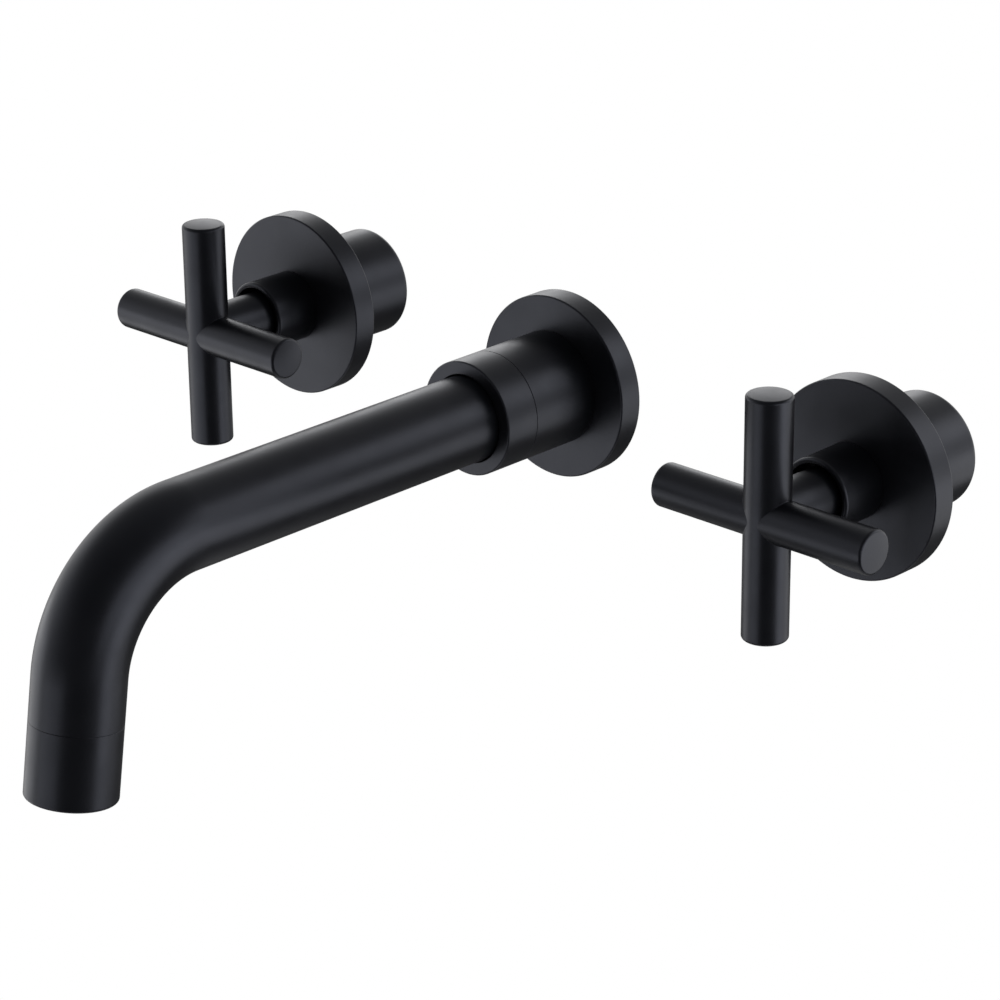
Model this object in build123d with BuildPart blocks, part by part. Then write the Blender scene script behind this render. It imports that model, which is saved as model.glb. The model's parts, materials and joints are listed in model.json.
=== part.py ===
from build123d import *
import os

# Wall mounted bath faucet: two quarter-turn valves with cross handles, and a spout between them.
#
# Millimetres. +X runs from the hot valve to the cold one, +Y into the wall, +Z up. The origin is on
# the spout's axis, on the wall's surface. Distances called "out" are measured from the wall's surface
# towards the room, so a piece inside the wall has a negative one.

os.makedirs("parts", exist_ok=True)

# Driving dimensions -------------------------------------------------------------------------------

handle_spacing = 203.2          # hot valve's axis to cold valve's axis
running_gap = 0.05              # clearance of a piece that turns in or on another
seat_gap = 0.05                 # clearance between pieces that are assembled together
edge_break = 0.4                # chamfer on visible edges

# Flanges
valve_flange_radius = 26.2
spout_flange_radius = 25.2
flange_thickness = 7.2
flange_web = 1.2                # left in front of the valve body's neck
gasket_thickness = 2.0
gasket_inset = 2.0              # flange's rim outside its gasket
gasket_land = 1.3               # flange's face between its hole, or the valve body, and its gasket

# Cross handle
cross_half_width = 33.1
cross_half_height = 32.1
bar_radius = 5.95
level_bar_radius = 5.73
bar_end_break = 0.35
hub_radius = 7.1
hub_length = 24.4               # from the centre of the cross back to the hub's rear end
hub_gap = 0.8                   # between the hub and the cartridge's neck
socket_depth = 16.2             # splined socket in the hub
handle_screw_offset = 12.2      # screw's axis, forward of the hub's rear end
handle_screw_radius = 2.0
handle_screw_sink = 0.4         # how far the screw stands back from the hub's surface
key_radius = 1.0                # corners of the screw's hexagon socket
key_depth = 1.5

# Sleeve
sleeve_length = 14.4
sleeve_wall = 1.4
sleeve_gap = 1.5                # open gap round the hub
sleeve_lip_break = 0.5

# Valve body
body_radius = 15.4
body_rear_round = 1.6
neck_wall = 2.15                # round the cartridge's thread
chamber_ledge = 0.7             # step from the cartridge's thread down to the chamber
chamber_depth = 14.0
web_thickness = 2.0             # between the chamber and the inlet
waterway_radius = 5.0
inlet_thread_radius = 9.3       # half-inch pipe thread, at its minor diameter
inlet_thread_depth = 8.6
outlet_thread_radius = 5.72     # quarter-inch pipe thread, at its minor diameter
outlet_thread_depth = 5.0
outlet_passage_radius = 4.0     # between the outlet's thread and the chamber

# Cartridge
cartridge_thread_radius = 10.3
cartridge_neck_length = 7.4     # in front of the flange
cartridge_roof = -0.5           # distance out of the inner end of the cartridge's bore
thread_runout = 0.5             # thread that reaches behind the roof
skirt_gap = 0.7                 # passage for the water between the skirt and the chamber
skirt_wall = 1.3
skirt_clearance = 1.6           # between the skirt's end and the chamber's floor
window_width = 9.0
window_margin = 0.2             # between the window and the thread
o_ring_section = 0.65           # half the thickness of the cartridge's O-ring

# Stem
stem_radius = 4.5
stem_shoulder_gap = 0.2         # between the stem's shoulder and the hub
stem_tip_gap = 0.6              # between the stem's tip and the end of the hub's socket
spline_depth = 0.4
spline_shoulder = 0.5           # step from the stem's shaft down to its splines
spline_teeth = 20
spline_tooth_width = 0.6
thrust_collar_width = 2.0       # round the shaft
thrust_collar_thickness = 1.1
driver_radius = 5.0
driver_length = 3.45
tab_width = 9.4
tab_thickness = 2.4
tab_height = 1.2
tab_play = 0.1                  # clearance at each side of the tab in the disc's slot
stem_o_ring_section = 0.7
stem_o_ring_offsets = (3.9, 7.9)    # forward of the cartridge's roof
clip_groove_depth = 0.8
clip_width = 1.7                # outside the shaft
clip_thickness = 0.9
clip_opening = 3.0
clip_recess_depth = 1.6
clip_recess_gap = 0.3

# Ceramic discs
disc_gap = 0.1                  # between the discs and the cartridge's bore
moving_disc_thickness = 2.5
fixed_disc_thickness = 2.6
port_radius = 2.0
port_offset = 4.4
seat_seal_wall = 1.1

# Spout
tube_radius = 11.66
tube_wall = 2.0
tube_straight_length = 99.0     # from the collar's front to the bend
bend_radius = 34.1              # of the tube's centre line
bend_angle = 81.0
tube_end_length = 11.3          # straight length below the bend, down to the aerator's seam
tube_lip = 1.55                 # behind the groove for the retaining ring

# Aerator
aerator_length = 19.45
aerator_wall = 1.36
aerator_round = 0.8
aerator_recess = 0.8            # insert's face above the housing's rim
spigot_length = 6.0
spigot_wall = 1.4
seam_break = 0.35               # chamfer that draws the seam between tube and housing
washer_thickness = 1.6
washer_width = 2.2
insert_length = 8.0
insert_rim = 1.6
mesh_pitch = 2.1
mesh_hole_radius = 0.75

# Collar
collar_sleeve_length = 22.2
collar_ring_length = 10.8
collar_wall = 1.84
collar_mouth_gap = 0.25         # open gap round the tube
collar_spigot_wall = 1.74
collar_spigot_length = 2.5
collar_seam_break = 0.18
retaining_ring_thickness = 1.2
retaining_groove_depth = 0.6
retaining_ring_opening = 3.0

# Spout adapter
plug_length = 14.0
adapter_bore_radius = 6.0
spout_thread_depth = 15.0
spout_o_ring_section = 0.9
spout_o_ring_offsets = (4.5, 9.5)   # forward of the adapter's shoulder

# Values that follow from them ---------------------------------------------------------------------

# Valve sets, from the middle outwards
cartridge_neck_radius = hub_radius + sleeve_gap - seat_gap
sleeve_radius = hub_radius + sleeve_gap + sleeve_wall
neck_radius = cartridge_thread_radius + seat_gap + neck_wall
chamber_radius = cartridge_thread_radius - chamber_ledge
skirt_radius = chamber_radius - skirt_gap
cartridge_bore_radius = skirt_radius - skirt_wall
disc_radius = cartridge_bore_radius - disc_gap
spline_radius = stem_radius - spline_shoulder
spline_root_radius = spline_radius - spline_depth
clip_groove_radius = stem_radius - clip_groove_depth
clip_radius = stem_radius + clip_width
clip_recess_radius = clip_radius + clip_recess_gap
thrust_collar_radius = stem_radius + thrust_collar_width
valve_gasket_hole = body_radius + gasket_land

# Valve sets, from the front backwards
cartridge_neck_out = flange_thickness + cartridge_neck_length
hub_rear_out = cartridge_neck_out + hub_gap
cross_out = hub_rear_out + hub_length
handle_screw_out = hub_rear_out + handle_screw_offset
sleeve_out = flange_thickness + sleeve_length
neck_out = flange_thickness - flange_web - seat_gap
spline_start = hub_rear_out - stem_shoulder_gap
stem_tip_out = hub_rear_out + socket_depth - stem_tip_gap
clip_floor = cartridge_neck_out - clip_recess_depth
clip_out = clip_floor + running_gap
thread_end = cartridge_roof - thread_runout
thrust_collar_front = cartridge_roof - running_gap
thrust_collar_rear = thrust_collar_front - thrust_collar_thickness
moving_disc_front = thrust_collar_rear - driver_length
moving_disc_rear = moving_disc_front - moving_disc_thickness
fixed_disc_front = moving_disc_rear - seat_gap
fixed_disc_rear = fixed_disc_front - fixed_disc_thickness
skirt_end = skirt_clearance - chamber_depth
window_rear = moving_disc_front + window_margin
window_front = thread_end - window_margin
inlet_floor = chamber_depth + web_thickness
body_depth = inlet_floor + inlet_thread_depth
outlet_depth = (chamber_depth - thread_end) / 2
stem_o_ring_outs = [cartridge_roof + offset for offset in stem_o_ring_offsets]

# Spout, from the middle outwards
tube_bore_radius = tube_radius - tube_wall
plug_radius = tube_bore_radius - seat_gap
collar_mouth_radius = tube_radius + collar_mouth_gap
collar_inner_radius = collar_mouth_radius + collar_spigot_wall + seat_gap
collar_outer_radius = collar_inner_radius + collar_wall
spout_gasket_hole = collar_inner_radius + gasket_land
aerator_bore_radius = tube_radius - aerator_wall
insert_radius = aerator_bore_radius - seat_gap

# Spout, from the front backwards
collar_ring_out = flange_thickness + collar_sleeve_length
collar_front_out = collar_ring_out + collar_ring_length
bend_out = collar_front_out + tube_straight_length
retaining_ring_rear = collar_ring_out - collar_spigot_length - seat_gap - retaining_ring_thickness
tube_rear_out = retaining_ring_rear - seat_gap - tube_lip
adapter_shoulder_out = tube_rear_out - seat_gap
spout_o_ring_outs = [adapter_shoulder_out + offset for offset in spout_o_ring_offsets]


# Helpers ------------------------------------------------------------------------------------------

def facing(x, out):
    """Plane parallel to the wall, centred on the axis at x, that faces the room."""
    return Plane(origin=(x, -out, 0), x_dir=(1, 0, 0), z_dir=(0, -1, 0))


def half_section(x):
    """Plane through the axis at x, whose coordinates are radius and distance out."""
    return Plane(origin=(x, 0, 0), x_dir=(1, 0, 0), z_dir=(0, 0, -1))


def ring(x, outer, inner, start, end, mode=Mode.ADD):
    """Turn a plain ring, or a disc, between two radii and two distances out."""
    with BuildSketch(half_section(x)) as profile:
        with BuildLine():
            Polyline((inner, start), (outer, start), (outer, end), (inner, end), close=True)
        make_face()
    revolve(profile.sketch, axis=Axis((x, 0, 0), (0, -1, 0)), mode=mode)


def o_rings(x, ring_radius, section, outs):
    """Rubber rings of round section about the axis at x."""
    with BuildSketch(half_section(x)) as profile:
        with Locations(*[(ring_radius, out) for out in outs]):
            Circle(section)
    revolve(profile.sketch, axis=Axis((x, 0, 0), (0, -1, 0)))


def end_circles(piece, front):
    """Circular edges at the front or the rear of a turned piece, the narrowest first."""
    circles = piece.edges().filter_by(GeomType.CIRCLE)
    return circles.group_by(Axis.Y)[0 if front else -1].sort_by(SortBy.RADIUS)


def save(piece, name):
    """Label a finished piece and write it to its own file."""
    piece.part.label = name
    export_step(piece.part, f"parts/{name}.step")


# Flanges and gaskets ------------------------------------------------------------------------------

def make_flange(name, x, radius, hole, gasket_hole, over_neck):
    """Thick round plate on the wall, with a recess for the gasket in its back.

    A valve's flange also has a pocket there, over the neck of the valve body.
    """
    with BuildPart() as flange:
        ring(x, radius, hole, 0, flange_thickness)
        chamfer(end_circles(flange, True)[-1], edge_break)
        chamfer(end_circles(flange, False)[-1], edge_break)
        ring(x, radius - gasket_inset, gasket_hole, 0, gasket_thickness, Mode.SUBTRACT)
        if over_neck:
            ring(x, neck_radius + seat_gap, hole, 0, neck_out + seat_gap, Mode.SUBTRACT)
    save(flange, name)


def make_gasket(name, x, flange_radius, gasket_hole):
    """Flat rubber ring that fills the recess in the back of a flange."""
    with BuildPart() as gasket:
        ring(x, flange_radius - gasket_inset - seat_gap, gasket_hole + seat_gap,
             0, gasket_thickness - seat_gap)
    save(gasket, name)


# Cross handle -------------------------------------------------------------------------------------

def spline_sketch(x, out, growth):
    """Section of the splined stem, grown all round by a clearance."""
    root = spline_root_radius + growth
    with BuildSketch(facing(x, out)) as section:
        Circle(root)
        with PolarLocations(root, spline_teeth):
            Rectangle(2 * spline_depth, spline_tooth_width + 2 * growth)
    return section


def make_cross_handle(name, x):
    """Upright round bar and a slimmer level one across it, with a hub that slides over the stem."""
    centre = (x, -cross_out, 0)
    with BuildPart() as handle:
        for direction, radius, half_length in (((1, 0, 0), level_bar_radius, cross_half_width),
                                               ((0, 0, 1), bar_radius, cross_half_height)):
            with BuildSketch(Plane(origin=centre, z_dir=direction)) as section:
                Circle(radius)
            extrude(section.sketch, amount=half_length, both=True)
        ends = handle.edges().filter_by(GeomType.CIRCLE)
        chamfer(ends.group_by(Axis.X)[0] + ends.group_by(Axis.X)[-1]
                + ends.group_by(Axis.Z)[0] + ends.group_by(Axis.Z)[-1], bar_end_break)
        ring(x, hub_radius, 0, hub_rear_out, cross_out)
        chamfer(end_circles(handle, False)[-1], edge_break)
        socket = spline_sketch(x, hub_rear_out, running_gap)
        extrude(socket.sketch, amount=socket_depth, mode=Mode.SUBTRACT)
        with BuildSketch(Plane(origin=(x, -handle_screw_out, 0), z_dir=(0, 0, -1))) as screw_hole:
            Circle(handle_screw_radius + seat_gap)
        extrude(screw_hole.sketch, amount=2 * hub_radius, mode=Mode.SUBTRACT)
    save(handle, name)


def make_handle_screw(name, x):
    """Socket set screw in the underside of the hub, up against the stem."""
    top = spline_radius + 2 * running_gap
    bottom = hub_radius - handle_screw_sink
    with BuildPart() as screw:
        with BuildSketch(Plane(origin=(x, -handle_screw_out, -top), z_dir=(0, 0, -1))) as section:
            Circle(handle_screw_radius)
        extrude(section.sketch, amount=bottom - top)
        with BuildSketch(Plane(origin=(x, -handle_screw_out, -bottom), z_dir=(0, 0, 1))) as key:
            RegularPolygon(key_radius, 6)
        extrude(key.sketch, amount=key_depth, mode=Mode.SUBTRACT)
    save(screw, name)


# Sleeve and valve body ----------------------------------------------------------------------------

def make_sleeve(name, x):
    """Cup over the valve's neck, screwed down on the flange, with a bevelled lip round the hub."""
    with BuildPart() as sleeve:
        ring(x, sleeve_radius, sleeve_radius - sleeve_wall, flange_thickness, sleeve_out)
        chamfer(end_circles(sleeve, True)[-1], sleeve_lip_break)
        chamfer(end_circles(sleeve, True)[0], sleeve_lip_break / 2)
    save(sleeve, name)


def make_valve_body(name, x):
    """Round brass body in the wall: chamber for the cartridge, inlet behind it, outlet below it."""
    with BuildPart() as body:
        ring(x, body_radius, 0, -body_depth, 0)
        fillet(end_circles(body, False)[-1], body_rear_round)
        ring(x, neck_radius, 0, 0, neck_out)
        ring(x, cartridge_thread_radius + seat_gap, 0, thread_end, neck_out, Mode.SUBTRACT)
        ring(x, chamber_radius, 0, -chamber_depth, thread_end, Mode.SUBTRACT)
        ring(x, waterway_radius, 0, -inlet_floor, -chamber_depth, Mode.SUBTRACT)
        ring(x, inlet_thread_radius, 0, -body_depth, -inlet_floor, Mode.SUBTRACT)
        outlet_floor = body_radius - outlet_thread_depth
        with BuildSketch(Plane(origin=(x, outlet_depth, -outlet_floor), z_dir=(0, 0, -1))) as thread:
            Circle(outlet_thread_radius)
        extrude(thread.sketch, amount=body_radius, mode=Mode.SUBTRACT)
        with BuildSketch(Plane(origin=(x, outlet_depth, 0), z_dir=(0, 0, -1))) as passage:
            Circle(outlet_passage_radius)
        extrude(passage.sketch, amount=body_radius, mode=Mode.SUBTRACT)
    save(body, name)


# Cartridge ----------------------------------------------------------------------------------------

def make_cartridge_body(name, x):
    """Brass body of the cartridge: neck, thread, and a skirt with two windows for the water."""
    o_ring_seat = thread_end + 2 * o_ring_section
    with BuildPart() as body:
        ring(x, skirt_radius, 0, skirt_end, o_ring_seat)
        ring(x, cartridge_thread_radius, 0, o_ring_seat, neck_out)
        ring(x, cartridge_neck_radius, 0, neck_out, cartridge_neck_out)
        ring(x, cartridge_bore_radius, 0, skirt_end, cartridge_roof, Mode.SUBTRACT)
        ring(x, stem_radius + running_gap, 0, cartridge_roof, cartridge_neck_out, Mode.SUBTRACT)
        ring(x, clip_recess_radius, 0, clip_floor, cartridge_neck_out, Mode.SUBTRACT)
        window_middle = -(window_rear + window_front) / 2
        with BuildSketch(Plane.XY) as window:
            with Locations((x, window_middle)):
                Rectangle(window_width, window_front - window_rear)
        extrude(window.sketch, amount=chamber_radius, both=True, mode=Mode.SUBTRACT)
    save(body, name)


def make_cartridge_o_ring(name, x):
    """Rubber ring under the cartridge's thread, on the shoulder of the valve body."""
    ring_radius = skirt_radius + o_ring_section + seat_gap
    with BuildPart() as o_ring:
        o_rings(x, ring_radius, o_ring_section - seat_gap / 2, [thread_end + o_ring_section])
    save(o_ring, name)


def make_stem(name, x):
    """Spindle: splined end, shaft with O-ring grooves, thrust collar, driver and tab."""
    groove_root = stem_radius - 2 * (stem_o_ring_section - running_gap)
    with BuildPart() as stem:
        ring(x, stem_radius, 0, thrust_collar_front, spline_start)
        ring(x, thrust_collar_radius, 0, thrust_collar_rear, thrust_collar_front)
        ring(x, driver_radius, 0, moving_disc_front + seat_gap, thrust_collar_rear)
        for out in stem_o_ring_outs:
            ring(x, stem_radius, groove_root, out - stem_o_ring_section,
                 out + stem_o_ring_section, Mode.SUBTRACT)
        ring(x, stem_radius, clip_groove_radius, clip_out, clip_out + clip_thickness + seat_gap,
             Mode.SUBTRACT)
        spline = spline_sketch(x, spline_start, 0)
        extrude(spline.sketch, amount=stem_tip_out - spline_start)
        with BuildSketch(facing(x, moving_disc_front - tab_height)) as tab:
            Rectangle(tab_width, tab_thickness)
        extrude(tab.sketch, amount=tab_height + driver_length)
    save(stem, name)


def make_stem_clip(name, x):
    """Open spring-steel clip in the stem's groove, in the recess of the cartridge's neck."""
    with BuildPart() as clip:
        ring(x, clip_radius, clip_groove_radius + seat_gap, clip_out, clip_out + clip_thickness)
        with BuildSketch(facing(x, clip_out)) as opening:
            with Locations((0, -clip_radius)):
                Rectangle(clip_opening, 2 * clip_radius)
        extrude(opening.sketch, amount=clip_thickness, mode=Mode.SUBTRACT)
    save(clip, name)


def make_stem_o_rings(name, x):
    """Two rubber rings in the stem's grooves."""
    section = stem_o_ring_section - running_gap
    with BuildPart() as rings:
        o_rings(x, stem_radius - section, section, stem_o_ring_outs)
    save(rings, name)


def make_moving_disc(name, x):
    """Ceramic disc that the stem's tab turns: its ports stand over the fixed ones after 90 degrees."""
    with BuildPart() as disc:
        ring(x, disc_radius, 0, moving_disc_rear, moving_disc_front)
        with BuildSketch(facing(x, moving_disc_front)) as slot:
            Rectangle(tab_width + 2 * tab_play, tab_thickness + 2 * tab_play)
        extrude(slot.sketch, amount=-(tab_height + seat_gap), mode=Mode.SUBTRACT)
        with BuildSketch(facing(x, moving_disc_rear)) as ports:
            with Locations((0, port_offset), (0, -port_offset)):
                Circle(port_radius)
        extrude(ports.sketch, amount=moving_disc_thickness, mode=Mode.SUBTRACT)
    save(disc, name)


def make_fixed_disc(name, x):
    """Ceramic disc that stays in the cartridge's bore, with a port at each side."""
    with BuildPart() as disc:
        ring(x, disc_radius, 0, fixed_disc_rear, fixed_disc_front)
        with BuildSketch(facing(x, fixed_disc_rear)) as ports:
            with Locations((port_offset, 0), (-port_offset, 0)):
                Circle(port_radius)
        extrude(ports.sketch, amount=fixed_disc_thickness, mode=Mode.SUBTRACT)
    save(disc, name)


def make_seat_seal(name, x):
    """Rubber sleeve that presses the discs together and seals on the floor of the chamber."""
    outer = cartridge_bore_radius - seat_gap
    with BuildPart() as seal:
        ring(x, outer, outer - seat_seal_wall, -chamber_depth, fixed_disc_rear)
    save(seal, name)


# Spout --------------------------------------------------------------------------------------------

def spout_path():
    """Centre line of the spout: straight out from the wall, then one bend down."""
    with BuildLine(Plane.YZ) as path:
        straight = Line((-tube_rear_out, 0), (-bend_out, 0))
        bend = JernArc(start=straight @ 1, tangent=straight % 1, radius=bend_radius,
                       arc_size=bend_angle)
        Line(bend @ 1, bend @ 1 + (bend % 1) * tube_end_length)
    return path.line


def end_plane(distance):
    """Plane square to the spout's outlet end, a distance past the seam of the aerator."""
    path = spout_path()
    direction = path % 1
    return Plane(origin=path @ 1 + direction * distance, x_dir=(1, 0, 0), z_dir=direction)


def make_spout_tube():
    """Bent tube with a groove for the retaining ring near its rear end."""
    path = spout_path()
    with BuildPart() as spout_tube:
        with BuildSketch(facing(0, tube_rear_out)) as section:
            Circle(tube_radius)
            Circle(tube_bore_radius, mode=Mode.SUBTRACT)
        sweep(section.sketch, path=path)
        ring(0, tube_radius, tube_radius - retaining_groove_depth, retaining_ring_rear - seat_gap,
             retaining_ring_rear + retaining_ring_thickness + seat_gap, Mode.SUBTRACT)
    save(spout_tube, "spout_tube")


def make_aerator():
    """Ring at the outlet, screwed into the tube, with its rubber washer and its mesh insert."""
    insert_start = aerator_length - aerator_recess - insert_length
    washer_start = insert_start - washer_thickness
    with BuildPart() as aerator_housing:
        with BuildSketch(end_plane(seat_gap)) as outline:
            Circle(tube_radius)
        extrude(outline.sketch, amount=aerator_length - seat_gap)
        rims = aerator_housing.edges().filter_by(GeomType.CIRCLE).sort_by(Axis.Z)
        fillet(rims[0], aerator_round)
        chamfer(rims[-1], seam_break)
        with BuildSketch(end_plane(-spigot_length)) as spigot:
            Circle(plug_radius)
        extrude(spigot.sketch, amount=spigot_length + washer_start)
        with BuildSketch(end_plane(-spigot_length)) as bore:
            Circle(plug_radius - spigot_wall)
        extrude(bore.sketch, amount=spigot_length + aerator_length, mode=Mode.SUBTRACT)
        with BuildSketch(end_plane(washer_start)) as seat:
            Circle(aerator_bore_radius)
        extrude(seat.sketch, amount=aerator_length - washer_start, mode=Mode.SUBTRACT)
    save(aerator_housing, "aerator_housing")

    with BuildPart() as aerator_washer:
        with BuildSketch(end_plane(washer_start)) as washer:
            Circle(insert_radius)
            Circle(insert_radius - washer_width, mode=Mode.SUBTRACT)
        extrude(washer.sketch, amount=washer_thickness)
    save(aerator_washer, "aerator_washer")

    mesh_reach = insert_radius - insert_rim - mesh_hole_radius
    mesh_rows = 2 * int(mesh_reach / mesh_pitch) + 3
    cells = HexLocations(mesh_pitch / 2, mesh_rows, mesh_rows).local_locations
    with BuildPart() as aerator_insert:
        with BuildSketch(end_plane(insert_start)) as core:
            Circle(insert_radius)
            with Locations(*[cell for cell in cells if cell.position.length < mesh_reach]):
                Circle(mesh_hole_radius, mode=Mode.SUBTRACT)
        extrude(core.sketch, amount=insert_length)
    save(aerator_insert, "aerator_insert")


def make_collar():
    """Two-part collar on the spout flange: rear sleeve, and the front ring screwed into it."""
    with BuildPart() as collar_sleeve:
        ring(0, collar_outer_radius, collar_inner_radius, flange_thickness, collar_ring_out)
        chamfer(end_circles(collar_sleeve, True)[-1], collar_seam_break)
    save(collar_sleeve, "collar_sleeve")
    with BuildPart() as collar_ring:
        ring(0, collar_outer_radius, collar_mouth_radius, collar_ring_out, collar_front_out)
        chamfer(end_circles(collar_ring, True)[-1], edge_break)
        chamfer(end_circles(collar_ring, True)[0], edge_break / 2)
        chamfer(end_circles(collar_ring, False)[-1], collar_seam_break)
        ring(0, collar_inner_radius - seat_gap, collar_mouth_radius,
             collar_ring_out - collar_spigot_length, collar_ring_out)
    save(collar_ring, "collar_ring")


def make_retaining_ring():
    """Split steel ring in the tube's groove, which the collar's front ring pulls up behind itself."""
    outer = collar_inner_radius - 2 * seat_gap
    with BuildPart() as retaining_ring:
        ring(0, outer, tube_radius - retaining_groove_depth + seat_gap, retaining_ring_rear,
             retaining_ring_rear + retaining_ring_thickness)
        with BuildSketch(facing(0, retaining_ring_rear)) as opening:
            with Locations((0, -tube_radius)):
                Rectangle(retaining_ring_opening, tube_radius)
        extrude(opening.sketch, amount=retaining_ring_thickness, mode=Mode.SUBTRACT)
    save(retaining_ring, "retaining_ring")


def make_spout_adapter():
    """Brass piece in the collar: inlet thread at the wall, and a plug with O-rings for the tube."""
    plug_end = adapter_shoulder_out + plug_length
    groove_root = plug_radius - 2 * (spout_o_ring_section - seat_gap)
    with BuildPart() as spout_adapter:
        ring(0, collar_inner_radius - seat_gap, adapter_bore_radius, 0, adapter_shoulder_out)
        ring(0, plug_radius, adapter_bore_radius, adapter_shoulder_out, plug_end)
        chamfer(end_circles(spout_adapter, True)[-1], edge_break)
        ring(0, inlet_thread_radius, 0, 0, spout_thread_depth, Mode.SUBTRACT)
        for out in spout_o_ring_outs:
            ring(0, plug_radius, groove_root, out - spout_o_ring_section,
                 out + spout_o_ring_section, Mode.SUBTRACT)
    save(spout_adapter, "spout_adapter")
    with BuildPart() as spout_o_rings:
        section = spout_o_ring_section - seat_gap
        o_rings(0, plug_radius - section, section, spout_o_ring_outs)
    save(spout_o_rings, "spout_o_rings")


# The whole faucet ---------------------------------------------------------------------------------

for side, axis_x in (("hot", -handle_spacing / 2), ("cold", handle_spacing / 2)):
    make_cross_handle(f"{side}_cross_handle", axis_x)
    make_handle_screw(f"{side}_handle_screw", axis_x)
    make_sleeve(f"{side}_sleeve", axis_x)
    make_flange(f"{side}_flange", axis_x, valve_flange_radius, cartridge_neck_radius + seat_gap,
                valve_gasket_hole, over_neck=True)
    make_gasket(f"{side}_flange_gasket", axis_x, valve_flange_radius, valve_gasket_hole)
    make_valve_body(f"{side}_valve_body", axis_x)
    make_cartridge_body(f"{side}_cartridge_body", axis_x)
    make_cartridge_o_ring(f"{side}_cartridge_o_ring", axis_x)
    make_stem(f"{side}_stem", axis_x)
    make_stem_clip(f"{side}_stem_clip", axis_x)
    make_stem_o_rings(f"{side}_stem_o_rings", axis_x)
    make_moving_disc(f"{side}_moving_disc", axis_x)
    make_fixed_disc(f"{side}_fixed_disc", axis_x)
    make_seat_seal(f"{side}_seat_seal", axis_x)

make_flange("spout_flange", 0, spout_flange_radius, collar_inner_radius, spout_gasket_hole,
            over_neck=False)
make_gasket("spout_flange_gasket", 0, spout_flange_radius, spout_gasket_hole)
make_collar()
make_retaining_ring()
make_spout_adapter()
make_spout_tube()
make_aerator()
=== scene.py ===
import json
import math

import bpy
import numpy as np
from bpy.props import FloatProperty, FloatVectorProperty, IntProperty, PointerProperty
from mathutils import Matrix, Vector


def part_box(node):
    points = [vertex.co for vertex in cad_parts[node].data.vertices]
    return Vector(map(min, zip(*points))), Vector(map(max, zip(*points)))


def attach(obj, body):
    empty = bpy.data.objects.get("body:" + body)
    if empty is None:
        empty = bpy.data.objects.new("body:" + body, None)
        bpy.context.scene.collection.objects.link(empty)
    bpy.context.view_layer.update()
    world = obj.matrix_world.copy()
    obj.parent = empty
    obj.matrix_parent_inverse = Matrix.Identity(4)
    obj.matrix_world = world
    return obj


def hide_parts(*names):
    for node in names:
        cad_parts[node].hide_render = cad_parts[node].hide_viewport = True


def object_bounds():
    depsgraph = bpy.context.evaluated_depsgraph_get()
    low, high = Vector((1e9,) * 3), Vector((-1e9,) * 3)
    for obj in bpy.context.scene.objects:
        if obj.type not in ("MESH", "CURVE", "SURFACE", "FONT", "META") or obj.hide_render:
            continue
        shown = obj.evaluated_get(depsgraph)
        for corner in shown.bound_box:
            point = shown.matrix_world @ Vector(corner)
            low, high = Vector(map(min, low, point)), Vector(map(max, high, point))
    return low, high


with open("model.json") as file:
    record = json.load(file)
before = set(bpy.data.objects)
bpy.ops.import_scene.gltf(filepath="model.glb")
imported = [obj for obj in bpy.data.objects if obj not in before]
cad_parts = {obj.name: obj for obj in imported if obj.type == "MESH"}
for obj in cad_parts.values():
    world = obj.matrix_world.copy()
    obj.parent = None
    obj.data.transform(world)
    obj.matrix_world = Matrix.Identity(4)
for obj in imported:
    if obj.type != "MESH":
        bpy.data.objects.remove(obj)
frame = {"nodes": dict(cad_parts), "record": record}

bl_info = {
    "name": "Wall Mounted Bath Faucet",
    "version": (1, 0, 0),
    "blender": (4, 5, 0),
    "location": "View3D > Sidebar > Faucet",
    "description": "Builds a cross-handle wall faucet's visible pieces and finishes on its frame",
    "category": "Add Mesh",
}

SIDES = ("hot", "cold")
MM = 0.001
X_AXIS = np.array((1.0, 0.0, 0.0))
LOADED_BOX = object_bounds()

# Small sizes in metres, and steps of the grids.
JOIN_WITHIN = 1e-8  # Points this near are one
SEAT_GAP = 0.05 * MM  # Room between pieces that seat in one another
SEAT_ROUND = 0.1 * MM  # Edges that seat against another piece
SEAM_ROUND = 0.18 * MM  # Edges of the seam between the collar's two pieces
MOUTH_ROUND = 0.3 * MM  # Edge of the collar's mouth, round the tube
THREAD_GAP = 0.03 * MM  # Room between a thread's lining and its bore
LINING_GAP = 0.01 * MM  # The same behind the lining
BAR_ROWS = 12  # Along the straight side of a bar
DISC_RINGS = 5  # In the disc at a bar's end
FILLET_STEPS = 8  # Across the fillet between the bars
CLEAR_STEPS = 12  # Round the upright bar, past the level one
SQUARE_STEPS = 16  # Along a side of the square round the screw's hole
SQUARE_SHARE = 1.5  # That side against the hole's width
STRIP_ROWS = 5  # In the strips behind and before that square
RING_ROWS = 7  # From the hole's circle to the square
TUBE_ROWS = 24  # Along the straight part of the spout's tube
BEND_ROWS = 96  # Along its bend
END_ROWS = 8  # Along its straight end
THREAD_ROWS = 10  # In one pitch of a thread
FLANK_SLOPE, FLANK_CUT = 2.6, 0.15  # Of the thread's triangle wave, before it is cut flat
FLOOR_ROWS = 33  # Of the floor's grid, each way

# Part of a noise's range that holds most of its values.
NOISE_LOW, NOISE_HIGH = 0.3, 0.7
BRASS_ROUGHNESS, STEEL_ROUGHNESS = 0.3, 0.28


# Sizes read from the frame ------------------------------

def span(node):
    """Centre x, largest radius, rear out and front out of a piece turned about a wall axis."""
    low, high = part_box(node)
    return (low.x + high.x) / 2, (high.x - low.x) / 2, -high.y, -low.y


# Profiles ------------------------------

def unit(vectors):
    """Vectors brought to a length of 1."""
    return vectors / np.maximum(np.linalg.norm(vectors, axis=-1, keepdims=True), 1e-12)


def left_of(vectors):
    """Flat vectors turned a quarter to the left."""
    return np.stack([-vectors[..., 1], vectors[..., 0]], -1)


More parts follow.
